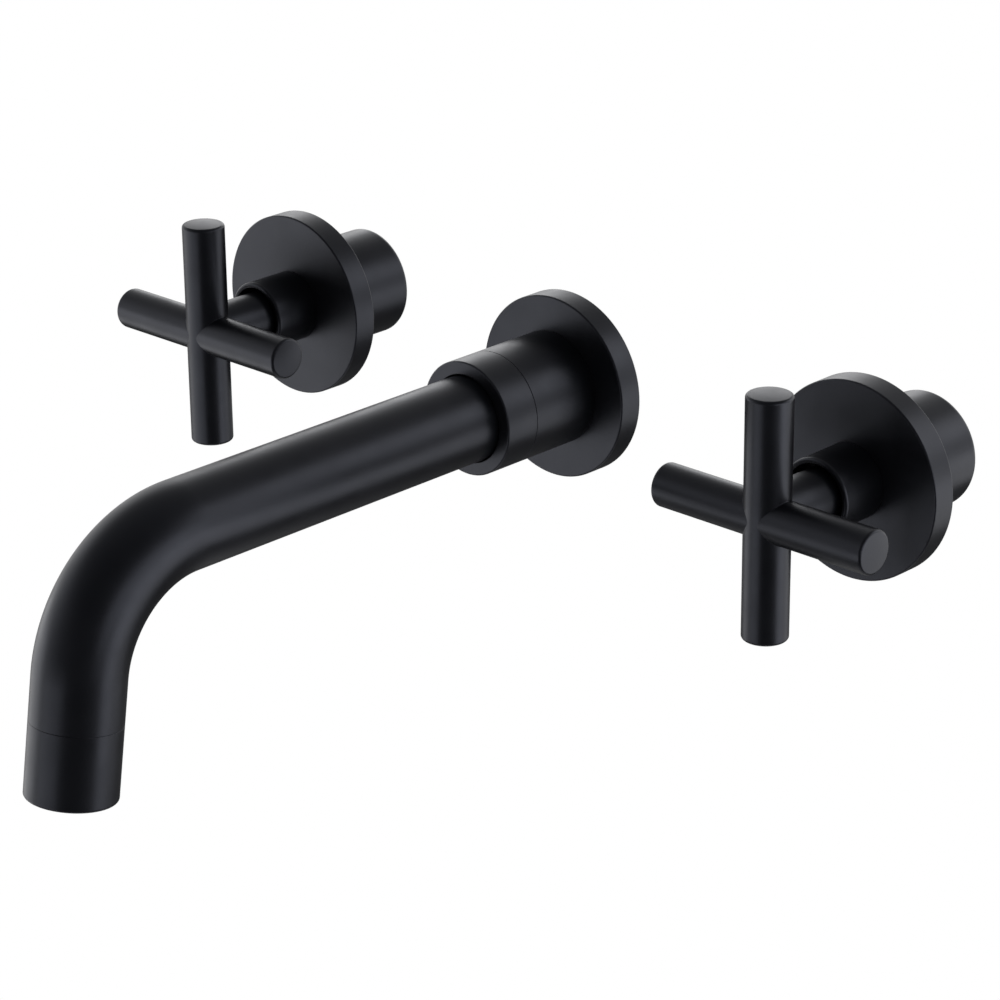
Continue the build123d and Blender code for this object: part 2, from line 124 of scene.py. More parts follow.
def rounded_profile(corners, steps):
    """Closed outline with an arc at each corner, as points and unit normals.

    corners holds (radius, out, arc radius). At each corner the arc touches both straight sides: its
    centre lies on the bisector, at arc radius / cos(half the turn). Both ends of every straight
    side carry that side's own normal, so flats shade flat.
    """
    points = np.array([c[:2] for c in corners], float)
    radii = np.array([c[2] for c in corners], float)
    before = unit(points - np.roll(points, 1, axis=0))
    after = unit(np.roll(points, -1, axis=0) - points)
    turn = np.arctan2(before[:, 0] * after[:, 1] - before[:, 1] * after[:, 0],
                      (before * after).sum(1))
    side = np.sign(turn)[:, None]
    inward = left_of(before) * side
    start = points - before * (radii * np.tan(np.abs(turn) / 2))[:, None]
    centre = start + inward * radii[:, None]
    sweep = np.linspace(0, 1, steps + 1)[None, :] * turn[:, None]
    cos, sin = np.cos(sweep)[..., None], np.sin(sweep)[..., None]
    spoke = (start - centre)[:, None, :]
    outline = centre[:, None, :] + spoke * cos + left_of(spoke) * sin
    right = -left_of(before)[:, None, :]
    normal = right * cos + left_of(right) * sin
    return outline.reshape(-1, 2), normal.reshape(-1, 2)


def full_turn(segments):
    """Angles round a full turn."""
    return np.linspace(0, 2 * math.pi, segments, endpoint=False)


def turned(origin, axis, outline, normals, angle, closed=True):
    """Surface of revolution: each outline point (radius, height) goes round the axis.

    point = origin + axis * height + radius * (x * cos(a) + (axis x x) * sin(a)), for each angle a,
    where x is the frame's X axis, which stands square to every axis here. A closed outline returns
    to its first point.
    """
    axis = np.array(axis, float)
    spoke = X_AXIS * np.cos(angle)[..., None] + np.cross(axis, X_AXIS) * np.sin(angle)[..., None]
    place = (np.array(origin, float) + outline[:, None, 1:] * axis
             + outline[:, None, :1] * spoke[None])
    facing = normals[:, None, 1:] * axis + normals[:, None, :1] * spoke[None]
    return place, facing, closed, True


# Meshes ------------------------------

def sheet_faces(rows, columns, wrap_rows, wrap_columns):
    """Quads of a grid of rows x columns vertices, closed on itself in either direction."""
    row = np.arange(rows if wrap_rows else rows - 1)
    column = np.arange(columns if wrap_columns else columns - 1)
    r, c = np.meshgrid(row, column, indexing="ij")
    r_next, c_next = (r + 1) % rows, (c + 1) % columns
    return np.stack([r * columns + c, r_next * columns + c, r_next * columns + c_next,
                     r * columns + c_next], -1).reshape(-1, 4)


def placed(name, data):
    """A new object of that data, in the scene."""
    made = bpy.data.objects.new(name, data)
    bpy.context.scene.collection.objects.link(made)
    return made


def piece_from(name, sheets, replaced=None, body="faucet_base", slot="black_finish", finish=None):
    """One object from several grids, in its slot's finish unless it has one of its own.

    Equal points are joined, faces are turned along their normals, and a quad with two equal
    corners becomes a triangle.
    """
    places, facings, quads, offset = [], [], [], 0
    for place, facing, wrap_rows, wrap_columns in sheets:
        rows, columns = place.shape[:2]
        quads.append(sheet_faces(rows, columns, wrap_rows, wrap_columns) + offset)
        places.append(place.reshape(-1, 3))
        facings.append(facing.reshape(-1, 3))
        offset += rows * columns
    place, facing, quad = np.concatenate(places), np.concatenate(facings), np.concatenate(quads)
    keys = np.round(place / JOIN_WITHIN).astype(np.int64)
    _, first, joined = np.unique(keys, axis=0, return_index=True, return_inverse=True)
    joined = joined.reshape(-1)
    summed = np.zeros((len(first), 3))
    np.add.at(summed, joined, facing)
    place = place[first]
    facing = unit(summed)
    quad = joined[quad]
    diagonals = np.cross(place[quad[:, 2]] - place[quad[:, 0]],
                         place[quad[:, 3]] - place[quad[:, 1]])
    wrong = (diagonals * facing[quad].sum(1)).sum(1) < 0
    quad[wrong] = quad[wrong][:, ::-1]
    same = quad == np.roll(quad, -1, axis=1)
    whole = quad[~same.any(1)]
    pinched = same.sum(1) == 1
    corner = (np.argmax(same[pinched], axis=1)[:, None] + np.arange(1, 4)) % 4
    triangles = np.take_along_axis(quad[pinched], corner, axis=1)
    mesh = bpy.data.meshes.new(name)
    mesh.from_pydata(place.tolist(), [], whole.tolist() + triangles.tolist())
    mesh.shade_smooth()
    mesh.normals_split_custom_set_from_vertices(facing.tolist())
    mesh.materials.append(finish_of(finish or slot))
    mesh.validate()
    piece = placed(name, mesh)
    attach(piece, body)
    if replaced:
        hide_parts(replaced)


def turned_piece(name, replaced, x, corners, sizes):
    """A coated piece turned about the wall axis at x, from corners of (radius, out, arc radius)."""
    outline, normals = rounded_profile(corners, sizes.arc_steps)
    sheet = turned((x, 0, 0), (0, -1, 0), outline, normals, full_turn(sizes.segments))
    piece_from(name, [sheet], replaced)


# Finishes ------------------------------

def math_node(tree, kind, operation, *values):
    """A Math or Vector Math node of values, any of which may be a link."""
    node = tree.nodes.new(kind)
    node.operation = operation
    for socket, value in zip(node.inputs, values):
        if isinstance(value, bpy.types.NodeSocket):
            tree.links.new(value, socket)
        else:
            socket.default_value = value
    return node


def number(tree, operation, *values):
    """Result of a Math node."""
    return math_node(tree, "ShaderNodeMath", operation, *values).outputs[0]


def set_values(node, values):
    """Set a node's inputs by name, with _ for each space."""
    for name, value in values.items():
        node.inputs[name.replace("_", " ")].default_value = value
    return node


class Finish:
    """A node material with one Principled shader, and short ways to add nodes to it.

    Noise values lie mostly between NOISE_LOW and NOISE_HIGH. Features are given by their scale, 1
    over their width in metres, and by detail, how many finer layers lie over them.
    """

    def __init__(self, name):
        self.material = bpy.data.materials.new(name)
        self.material.use_nodes = True
        self.tree = self.material.node_tree
        self.nodes = self.tree.nodes
        self.shader = self.nodes["Principled BSDF"]
        self.place = self.nodes.new("ShaderNodeTexCoord").outputs["Object"]

    def join(self, source, target):
        """Link an output to an input."""
        self.tree.links.new(source, target)

    def texture(self, kind, **values):
        """A node that reads the piece's own place."""
        node = set_values(self.nodes.new(kind), values)
        self.join(self.place, node.inputs["Vector"])
        return node

    def noise(self, scale, detail):
        """Cloudy value, with features about 1 / scale metres wide."""
        return self.texture("ShaderNodeTexNoise", Scale=scale, Detail=detail).outputs["Fac"]

    def speckle(self, scale):
        """Distance to scattered points, about 1 / scale metres apart."""
        return self.texture("ShaderNodeTexVoronoi", Scale=scale).outputs["Distance"]

    def tool_lines(self, scale):
        """Fine bands along the wall axis, as a lathe tool leaves them."""
        node = self.texture("ShaderNodeTexWave", Scale=scale, Distortion=0.6, Detail=2.0)
        node.wave_type, node.bands_direction = "BANDS", "Y"
        return node.outputs["Fac"]

    def number(self, operation, *values):
        """Result of a Math node of this material."""
        return number(self.tree, operation, *values)

    def axes(self):
        """The place's x, y and z."""
        return self.texture("ShaderNodeSeparateXYZ").outputs

    def in_bore(self, across, up, along, radius, end):
        """1 in a bore of that radius, short of its end along the axis."""
        square = self.number("MULTIPLY_ADD", across, across, self.number("MULTIPLY", up, up))
        return self.number("MULTIPLY", self.number("LESS_THAN", square, radius ** 2),
                           self.number("LESS_THAN", along, end))

    def cover(self, part, colour):
        """Lay a colour over the base colour where the part is 1."""
        mix = self.nodes.new("ShaderNodeMix")
        mix.data_type = "RGBA"
        mix.inputs["B"].default_value = (*colour, 1)
        self.join(part, mix.inputs["Factor"])
        self.join(self.shader.inputs["Base Color"].links[0].from_socket, mix.inputs["A"])
        self.join(mix.outputs["Result"], self.shader.inputs["Base Color"])

    def gloss(self, value, low, high):
        """Roughness from low to high, where the value goes from NOISE_LOW to NOISE_HIGH."""
        node = set_values(self.nodes.new("ShaderNodeMapRange"),
                          {"From Min": NOISE_LOW, "From Max": NOISE_HIGH,
                           "To Min": low, "To Max": high})
        self.join(value, node.inputs["Value"])
        self.join(node.outputs["Result"], self.shader.inputs["Roughness"])

    def shades(self, value, dark, light):
        """Base colour from dark to light, where the value goes from NOISE_LOW to NOISE_HIGH."""
        node = self.nodes.new("ShaderNodeValToRGB")
        ends = node.color_ramp.elements
        ends[0].position, ends[1].position = NOISE_LOW, NOISE_HIGH
        ends[0].color, ends[1].color = (*dark, 1), (*light, 1)
        self.join(value, node.inputs["Fac"])
        self.join(node.outputs["Color"], self.shader.inputs["Base Color"])

    def bumps(self, *layers):
        """Bumps one over the other: (value, strength, height in metres) each."""
        last = None
        for value, strength, height in layers:
            node = set_values(self.nodes.new("ShaderNodeBump"),
                              {"Strength": strength, "Distance": height})
            self.join(value, node.inputs["Height"])
            if last:
                self.join(last, node.inputs["Normal"])
            last = node.outputs["Normal"]
        self.join(last, self.shader.inputs["Normal"])

    def constants(self, **values):
        """Values that are the same all over, set on the shader's own sockets."""
        set_values(self.shader, values)


def scaled(colour, factor):
    """A colour made lighter or darker."""
    return tuple(channel * factor for channel in colour)


def black_finish(settings, valve=False):
    """Satin black coating: fine orange peel, a faint cloud in the shade and in the gloss.

    On a valve body it leaves the brass bare inside the two threaded ports.
    """
    finish = Finish("valve_body_coating" if valve else "satin_black_coating")
    colour, roughness = settings.coating, settings.coating_roughness
    finish.shades(finish.noise(scale=60, detail=4), scaled(colour, 0.88), scaled(colour, 1.12))
    finish.gloss(finish.noise(scale=140, detail=3), roughness - 0.03, roughness + 0.03)
    if valve:
        x, y, z = finish.axes()
        axis_x = span("cold_valve_body")[0]
        across = finish.number("SUBTRACT", finish.number("ABSOLUTE", x), axis_x)
        behind = finish.number("SUBTRACT", y, settings.outlet_place)
        bare = finish.number("MAXIMUM",
                             finish.in_bore(across, z, y, settings.inlet_bore, 1.0),
                             finish.in_bore(across, behind, z, settings.outlet_bore, 0.0))
        finish.cover(bare, settings.brass)
        finish.join(bare, finish.shader.inputs["Metallic"])
    finish.bumps((finish.noise(scale=900, detail=2), 0.25, 0.03 * MM),
                 (finish.noise(scale=3500, detail=2), 0.3, 0.01 * MM))
    finish.constants(Specular_IOR_Level=settings.coating_specular,
                     Specular_Tint=(*settings.coating_tint, 1))
    return finish.material


def metal_finish(name, colour, roughness, coat_and_painted_shade=None):
    """Turned metal: fine tool lines along the wall axis and a slight change of shade.

    The coating's colour covers what stands in front of the wall flanges: partly a black coat,
    partly painted shade that keeps the brass seen in the gap round the hub dark.
    """
    finish = Finish(name)
    finish.shades(finish.noise(scale=120, detail=3), scaled(colour, 0.9), colour)
    finish.gloss(finish.noise(scale=400, detail=2), roughness - 0.05, roughness + 0.06)
    finish.constants(Metallic=1.0)
    if coat_and_painted_shade:
        # Painted shade, partly a real black coat: brass in front of the flanges takes the coating's
        # colour and loses its metal shine.
        front = finish.number("LESS_THAN", finish.axes()[1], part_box("hot_flange")[0].y)
        finish.cover(front, coat_and_painted_shade)
        finish.join(finish.number("SUBTRACT", 1.0, front), finish.shader.inputs["Metallic"])
    finish.bumps((finish.tool_lines(scale=800), 0.15, 0.02 * MM),
                 (finish.noise(scale=2500, detail=2), 0.1, 0.01 * MM))
    return finish.material


def rubber_finish(settings):
    """Moulded black rubber: matt, with a fine pebbled skin."""
    finish, colour = Finish("moulded_rubber"), settings.rubber
    finish.shades(finish.noise(scale=300, detail=3), scaled(colour, 0.8), scaled(colour, 1.2))
    finish.bumps((finish.speckle(scale=2500), 0.2, 0.02 * MM))
    finish.constants(Roughness=0.72)
    return finish.material


def ceramic_finish():
    """Lapped ceramic: smooth, off-white, with the faintest grain."""
    finish = Finish("lapped_ceramic")
    finish.shades(finish.noise(scale=500, detail=4), (0.82, 0.81, 0.78), (0.9, 0.89, 0.86))
    finish.bumps((finish.noise(scale=4000, detail=2), 0.05, 0.01 * MM))
    finish.constants(Roughness=0.18)
    return finish.material


def plastic_finish():
    """Moulded plastic of the aerator's insert: pale grey, slightly cloudy."""
    finish = Finish("moulded_plastic")
    finish.shades(finish.noise(scale=250, detail=3), (0.68, 0.69, 0.69), (0.8, 0.81, 0.81))
    finish.bumps((finish.noise(scale=1500, detail=2), 0.1, 0.02 * MM))
    finish.constants(Roughness=0.38, Subsurface_Weight=0.1, Subsurface_Scale=2 * MM)
    return finish.material


FINISHES = {}


def finish_of(slot):
    """The material of one of the record's slots, of a valve's body or of bare brass, made once."""
    settings = bpy.context.scene.faucet_finishes
    if slot not in FINISHES:
        brass, steel = tuple(settings.brass), tuple(settings.steel)
        FINISHES[slot] = {
            "black_finish": lambda: black_finish(settings),
            "valve_body": lambda: black_finish(settings, True),
            # In front of the flanges the turned brass takes the coating's colour: partly a black
            # coat, partly painted shade in the gap round the hub.
            "brass": lambda: metal_finish("turned_brass", brass, BRASS_ROUGHNESS, settings.coating),
            "bare_brass": lambda: metal_finish("bare_brass", brass, BRASS_ROUGHNESS),
            "steel": lambda: metal_finish("plain_steel", steel, STEEL_ROUGHNESS),
            "rubber": lambda: rubber_finish(settings),
            "ceramic": ceramic_finish,
            "plastic": plastic_finish,
        }[slot]()
    return FINISHES[slot]


# Settings ------------------------------

def length(name, description, millimetres):
    """A size that a user may change, in metres."""
    return FloatProperty(name=name, description=description, default=millimetres * MM, min=0.0,
                         subtype="DISTANCE", unit="LENGTH", precision=5)


def rotation(name, description, degrees):
    """An angle that a user may change, in radians."""
    return FloatProperty(name=name, description=description, default=math.radians(degrees),
                         subtype="ANGLE", unit="ROTATION")


def amount(name, description, default):
    """A plain number that a user may change."""
    return FloatProperty(name=name, description=description, default=default, min=0.0)


def colour(name, description, default):
    """A linear colour that a user may change."""
    return FloatVectorProperty(name=name, description=description, default=default, size=3,
                               min=0.0, max=1.0, subtype="COLOR")


class FaucetSizes(bpy.types.PropertyGroup):
    """Sizes that the CAD frame's boxes don't give."""

    segments: IntProperty(name="Segments", description="Faces round a turned piece",
                          default=192, min=24)
    arc_steps: IntProperty(name="Arc Steps", description="Faces along a rounded edge",
                           default=6, min=1)
    edge_round: length("Edge Round", "Radius of the coated outer edges", 0.45)
    inner_round: length("Inner Round", "Radius of edges that face a gap", 0.2)
    flange_hole: length("Flange Hole", "Radius of a valve flange's hole", 8.6)
    gasket_land: length("Gasket Land", "Flange's face inside its gasket", 1.3)
    neck_pocket: length("Neck Pocket", "Radius of the pocket in a valve flange's back", 12.55)
    neck_pocket_depth: length("Neck Pocket Depth", "Depth of that pocket", 6.0)
    sleeve_wall: length("Sleeve Wall", "Wall of the sleeve round the hub", 1.4)
    sleeve_lip: length("Sleeve Lip", "Radius of the sleeve's front edge", 0.8)
    bar_radius: length("Bar Radius", "Radius of the cross handle's upright bar", 5.95)
    level_bar_radius: length("Level Bar Radius", "Radius of its level bar", 5.73)
    bar_round: length("Bar Round", "Radius of the edges at the bars' ends", 0.85)
    bar_crown: length("Bar Crown", "Rise of the crowned discs at the bars' ends", 0.2)
    bar_fillet: length("Bar Fillet", "Fillet where the two bars cross", 0.2)
    hub_radius: length("Hub Radius", "Radius of the cross handle's hub", 7.1)
    hub_bore: length("Hub Bore", "Radius inside the hub, over the splines", 4.05)
    screw_gap: length("Screw Gap", "Gap round the set screw in the hub", 0.05)
    collar_wall: length("Collar Wall", "Wall of the collar's sleeve", 1.84)
    collar_mouth_wall: length("Collar Mouth Wall", "Wall at the mouth of the collar's ring", 3.63)
    bend_radius: length("Bend Radius", "Radius of the spout's bend, at its centre line", 34.1)
    bend_angle: rotation("Bend Angle", "Turn of the spout's bend", 81)
    tube_wall: length("Tube Wall", "Wall of the spout's tube", 2.0)
    tube_round: length("Tube Round", "Radius of the edges at the tube's ends", 0.12)
    aerator_round: length("Aerator Round", "Radius of the edge at the spout's outlet", 0.8)
    aerator_mouth: length("Aerator Mouth", "Radius of the opening round the insert", 10.3)
    inlet_pitch: length("Inlet Pitch", "Pitch of the inlets' pipe thread", 1.814)
    outlet_pitch: length("Outlet Pitch", "Pitch of the outlets' pipe thread", 1.337)
    thread_depth: length("Thread Depth", "Height of the threads' flanks in the ports", 0.5)
    inlet_inset: length("Inlet Inset", "Plain bore before an inlet's thread", 0.1)
    outlet_inset: length("Outlet Inset", "Plain bore before an outlet's thread", 1.2)


class FaucetFinishes(bpy.types.PropertyGroup):
    """Colours and gloss of the finishes."""

    coating: colour("Coating", "Satin black coating", (0.0010, 0.00105, 0.0016))
    coating_roughness: amount("Coating Roughness", "Roughness of the coating", 0.36)
    coating_specular: amount("Coating Specular", "Specular level of the coating", 0.5)
    coating_tint: colour("Coating Tint", "Tint of the coating's shine", (0.79, 0.83, 1.0))
    brass: colour("Brass", "Machined brass inside the valves", (0.76, 0.61, 0.33))
    steel: colour("Steel", "Stainless screws, clips and ring", (0.62, 0.62, 0.61))
    rubber: colour("Rubber", "Gaskets and O-rings", (0.018, 0.018, 0.018))
    inlet_bore: length("Inlet Bore", "Radius of bare brass in an inlet", 9.4)
    outlet_bore: length("Outlet Bore", "Radius of bare brass in an outlet", 5.8)
    outlet_place: length("Outlet Place", "Outlet's axis behind the wall", 7.5)


class FaucetStage(bpy.types.PropertyGroup):
    """Camera, floor and lights."""

    camera_azimuth: rotation("Camera Azimuth", "Camera's turn round the faucet", 43.985)
    camera_elevation: rotation("Camera Elevation", "Camera's height above level", 21.989)
    camera_roll: rotation("Camera Roll", "Camera's turn about its own axis", -0.627)
    camera_distance: length("Camera Distance", "Depth of the spout flange's front", 911.01)
    camera_lens: FloatProperty(name="Camera Lens", description="Focal length on a 36 mm sensor",
                               default=122.4, min=1.0, subtype="DISTANCE_CAMERA")
    aim_right: length("Aim Right", "Spout flange's front right of the view's middle", 13.917)
    aim_up: length("Aim Up", "Spout flange's front above the view's middle", 30.386)
    floor_drop: length("Floor Drop", "Floor below the lowest point of the spout", 900)
    floor_size: length("Floor Size", "Half width of the floor", 600)
    floor_colour: colour("Floor Colour", "Pale floor", (0.86, 0.86, 0.86))
    fill_level: amount("Fill Level", "Light from all round", 0.45)
    dark_side: amount("Dark Side", "Reflected light of the room's unlit side", 0.06)


# Operators ------------------------------

class FaucetOperator:
    """What the faucet's operators share."""

    bl_options = {"REGISTER", "UNDO"}

    @property
    def sizes(self):
        """The sizes that the user may change."""
        return bpy.context.scene.faucet_sizes


class FAUCET_OT_flanges(FaucetOperator, bpy.types.Operator):
    """Make the three round wall flanges, with rounded rims and recessed backs"""

    bl_idname = "faucet.flanges"
    bl_label = "Flanges"

    def make_flange(self, node, inside, land_inner):
        """One flange, from its own box and its gasket's.

        inside takes the flange's rear and front, and gives the corners of its hole. On its back, a
        narrow land lies between land_inner and the gasket's recess.
        """
        sizes = self.sizes
        x, radius, rear, front = span(node)
        _, recess_outer, _, recess_front = span(f"{node}_gasket")
        recess_outer, recess_front = recess_outer + SEAT_GAP, recess_front + SEAT_GAP
        land, fine = land_inner + sizes.gasket_land, sizes.inner_round / 2
        corners = [(radius, rear, sizes.edge_round), (radius, front, sizes.edge_round),
                   *inside(rear, front), (land, rear, fine), (land, recess_front, fine),
                   (recess_outer, recess_front, fine), (recess_outer, rear, fine)]
        turned_piece(f"{node}_plate", node, x, corners, sizes)

    def execute(self, context):
        sizes = self.sizes
        inner, hole, pocket = sizes.inner_round, sizes.flange_hole, sizes.neck_pocket
        depth = sizes.neck_pocket_depth
        for side in SIDES:
            self.make_flange(f"{side}_flange", lambda rear, front: [
                (hole, front, inner), (hole, depth, inner), (pocket, depth, inner / 2),
                (pocket, rear, inner)], span(f"{side}_valve_body")[1])
        spout_hole = span("spout_adapter")[1] + SEAT_GAP
        self.make_flange("spout_flange", lambda rear, front: [
            (spout_hole, front, inner / 2), (spout_hole, rear, inner / 2)], spout_hole)
        return {"FINISHED"}


class FAUCET_OT_sleeves(FaucetOperator, bpy.types.Operator):
    """Make the sleeves that stand on the valve flanges, with a fine lip round the hub"""

    bl_idname = "faucet.sleeves"
    bl_label = "Sleeves"

    def execute(self, context):
        sizes = self.sizes
        for side in SIDES:
            x, radius, rear, front = span(f"{side}_sleeve")
            bore = radius - sizes.sleeve_wall
            corners = [(radius, rear, SEAT_ROUND), (radius, front, sizes.sleeve_lip),
                       (bore, front, sizes.inner_round), (bore, rear, SEAT_ROUND)]
            turned_piece(f"{side}_sleeve_cup", f"{side}_sleeve", x, corners, sizes)
        return {"FINISHED"}


class FAUCET_OT_cross_handles(FaucetOperator, bpy.types.Operator):
    """Make the cross handles: an upright and a slimmer level bar, filleted together, and a hub"""

    bl_idname = "faucet.cross_handles"
    bl_label = "Cross Handles"

    def bar_end(self, radius, reach, angle):
        """End of a bar: a rounded edge and a crowned disc, as (along, side, out) and its normals.

        On the disc, along = reach - crown * (ring / rim)^2. The rounded edge meets it at its rim,
        with nearly the same tilt.
        """
        sizes = self.sizes
        edge, crown = sizes.bar_round, sizes.bar_crown
        tilt = math.atan(2 * crown / (radius - edge))
        rim = radius - edge * (1 - math.sin(tilt))
        corner = np.linspace(0, math.pi / 2 - tilt, sizes.arc_steps + 1)
        disc = rim * np.linspace(1, 0, DISC_RINGS + 1)[1:]
        lean = np.arctan(2 * crown * disc / rim ** 2)
        ring = np.concatenate([radius - edge + edge * np.cos(corner), disc])[:, None]
        along = np.concatenate([reach - crown + edge * (np.sin(corner) - math.cos(tilt)),
                                reach - crown * (disc / rim) ** 2])[:, None]
        across = np.concatenate([np.cos(corner), np.sin(lean)])[:, None]
        ahead = np.concatenate([np.sin(corner), np.cos(lean)])[:, None]
        cos, sin = np.cos(angle), np.sin(angle)
        return (np.stack([along + 0 * cos * ring, ring * cos, ring * sin], -1),
                np.stack([ahead + 0 * cos * ring, across * cos, across * sin], -1))

    def bar(self, radius, angle, start, reach):
        """One arm of a bar: its straight side, whose start differs round it, and its end."""
        share = np.linspace(0, 1, BAR_ROWS, endpoint=False)[:, None]
        end_place, end_facing = self.bar_end(radius, reach, angle)
        along = start + (end_place[0, :, 0] - start) * share
        side = np.broadcast_to(np.stack([radius * np.cos(angle), radius * np.sin(angle)], -1),
                               (*along.shape, 2))
        facing = np.zeros((*along.shape, 3))
        facing[..., 1:] = side / radius
        return (np.concatenate([np.concatenate([along[..., None], side], -1), end_place]),
                np.concatenate([facing, end_facing]))

    def fillet(self, turn):
        """Blend of the two bars in one quarter, as (right, up, out) and its normals.

        In the slice at out = level radius * sin(turn), the upright bar is a strip of half width
        w = sqrt(upright radius^2 - out^2) and the level bar one of half height
        h = level radius * cos(turn). A quarter circle of radius f = fillet * cos(turn) about
        (w + f, h + f) joins them. The normal is square to that circle and to the slices' change.
        """
        sizes = self.sizes
        level, out = sizes.level_bar_radius, sizes.level_bar_radius * np.sin(turn)
        wide, high = np.sqrt(sizes.bar_radius ** 2 - out ** 2), level * np.cos(turn)
        blend, out_change = sizes.bar_fillet * np.cos(turn), level * np.cos(turn)
        bend = np.linspace(math.pi, 1.5 * math.pi, FILLET_STEPS + 1)[:, None]
        cos, sin = np.cos(bend), np.sin(bend)
        place = np.stack([wide + blend * (1 + cos), high + blend * (1 + sin),
                          out + 0 * cos * out], -1)
        blend_change = -sizes.bar_fillet * np.sin(turn)
        wide_change = -out * out_change / wide + blend_change * (1 + cos)
        high_change = -level * np.sin(turn) + blend_change * (1 + sin)
        facing = np.stack([-cos * out_change, -sin * out_change,
                           cos * wide_change + sin * high_change], -1)
        return place, unit(facing)

    def cross(self, half_width, half_height):
        """Grids of the two bars, as (right, up, out) about the middle of the cross."""
        sizes = self.sizes
        upright, level = sizes.bar_radius, sizes.level_bar_radius
        turn = np.linspace(-math.pi / 2, math.pi / 2, sizes.segments // 2 + 1)
        place, facing = self.fillet(turn)
        flips = [np.array([right, up, 1.0]) for right in (1, -1) for up in (1, -1)]
        sheets = [(place * flip, facing * flip, False, False) for flip in flips]
        around = np.concatenate([turn, math.pi - turn[-2:0:-1]])
        start = (np.sqrt(upright ** 2 - (level * np.sin(around)) ** 2)
                 + sizes.bar_fillet * np.abs(np.cos(around)))
        place, facing = self.bar(level, around, start, half_width)
        sheets += [(place * flip, facing * flip, False, True) for flip in flips[::2]]
        side = np.arcsin(level / upright * np.sin(turn))
        clear = np.linspace(side[-1], math.pi - side[-1], CLEAR_STEPS + 2)[1:-1]
        around = np.concatenate([side, clear, math.pi - side[::-1], clear + math.pi])
        beside = (level + sizes.bar_fillet) * np.cos(turn)
        start = np.concatenate([beside, 0 * clear, beside, 0 * clear])
        place, facing = self.bar(upright, around, start, half_height)
        place, facing = place[..., [1, 0, 2]], facing[..., [1, 0, 2]]
        return sheets + [(place * flip, facing * flip, False, True) for flip in flips[:2]]

    def hub(self, x, rear, front, screw):
        """Grids of the hub, with a round hole in its underside for the set screw.

        The hub is turned from its rear round to its bore. Its outside is left to four more grids:
        the outside beyond the hole's square, the strips behind and before the square, and a ring
        that passes from the square to the hole's circle. A cup closes the hole over the screw.
        """
        sizes = self.sizes
        radius, edge = sizes.hub_radius, sizes.inner_round
        low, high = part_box(screw)
        hole, middle = (high.x - low.x) / 2 + sizes.screw_gap, -(low.y + high.y) / 2
        half = SQUARE_SHARE * hole
        across = np.linspace(-half, half, SQUARE_STEPS + 1)
        below = np.arctan2(-np.sqrt(radius ** 2 - across ** 2), across)
        rest = np.linspace(below[-1], below[0] + 2 * math.pi, sizes.segments)[1:-1]
        outline, normals = rounded_profile(
            [(radius, rear, sizes.edge_round), (radius, front, edge), (sizes.hub_bore, front, edge),
             (sizes.hub_bore, rear, edge)], sizes.arc_steps)
        count = sizes.arc_steps + 1
        outline, normals = np.roll(outline, -count, 0), np.roll(normals, -count, 0)
        wall_axis = (x, 0, 0), (0, -1, 0)
        sheets = [turned(*wall_axis, outline, normals, np.concatenate([below, rest]), False)]
        square = across + middle
        behind = np.linspace(outline[-1, 1], square[0], STRIP_ROWS)
        before = np.linspace(square[-1], outline[0, 1], STRIP_ROWS)

        def side(heights, angle):
            """Grid of the hub's round outside at those heights and angles."""
            line = np.stack([np.full_like(heights, radius), heights], 1)
            flat = np.tile([1.0, 0.0], (len(heights), 1))
            return (*turned(*wall_axis, line, flat, angle, False)[:3], False)

        sheets += [side(np.concatenate([behind, square[1:-1], before]),
                        np.concatenate([below[-1:], rest, below[:1]])),
                   side(behind, below), side(before, below)]
        full, short = np.full(SQUARE_STEPS + 1, half), np.full(SQUARE_STEPS - 1, half)
        u = np.concatenate([across, short, across[::-1], -short])
        v = np.concatenate([-full, across[1:-1], full, across[-2:0:-1]])
        share = np.linspace(0, 1, RING_ROWS)[:, None]
        scale = hole / np.hypot(u, v) * (1 - share) + share
        u, v = u * scale, v * scale
        depth = -np.sqrt(radius ** 2 - u ** 2)
        sheets.append((np.stack([x + u, -middle - v, depth], -1),
                       np.stack([u / radius, 0 * u, depth / radius], -1), False, True))
        # The cup's rings: its mouth, its foot, half way in on its floor, and the middle.
        u, v, inside = u[0], v[0], np.array([1.0, 1.0, 0.5, 0.0])[:, None]
        down = np.stack([depth[0], *np.full((3, len(u)), high.z + sizes.screw_gap)])
        wall = np.stack([x + u * inside, -middle - v * inside, down], -1)
        inward = np.stack([-u / hole, v / hole, 0 * u], -1)
        floor_facing = np.broadcast_to([0.0, 0.0, -1.0], inward.shape)
        sheets.append((wall, np.stack([inward, inward, floor_facing, floor_facing]), False, True))
        return sheets

    def execute(self, context):
        sizes = self.sizes
        basis = np.array([(1, 0, 0), (0, 0, 1), (0, -1, 0)], float)
        for side in SIDES:
            low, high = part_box(f"{side}_cross_handle")
            x, cross_out = (low.x + high.x) / 2, -low.y - sizes.bar_radius
            centre = np.array([x, -cross_out, 0])
            sheets = [(centre + place @ basis, facing @ basis, *wraps) for place, facing, *wraps
                      in self.cross((high.x - low.x) / 2, (high.z - low.z) / 2)]
            sheets += self.hub(x, -high.y, cross_out, f"{side}_handle_screw")
            piece_from(f"{side}_cross_grip", sheets, f"{side}_cross_handle", f"{side}_handle")
        return {"FINISHED"}


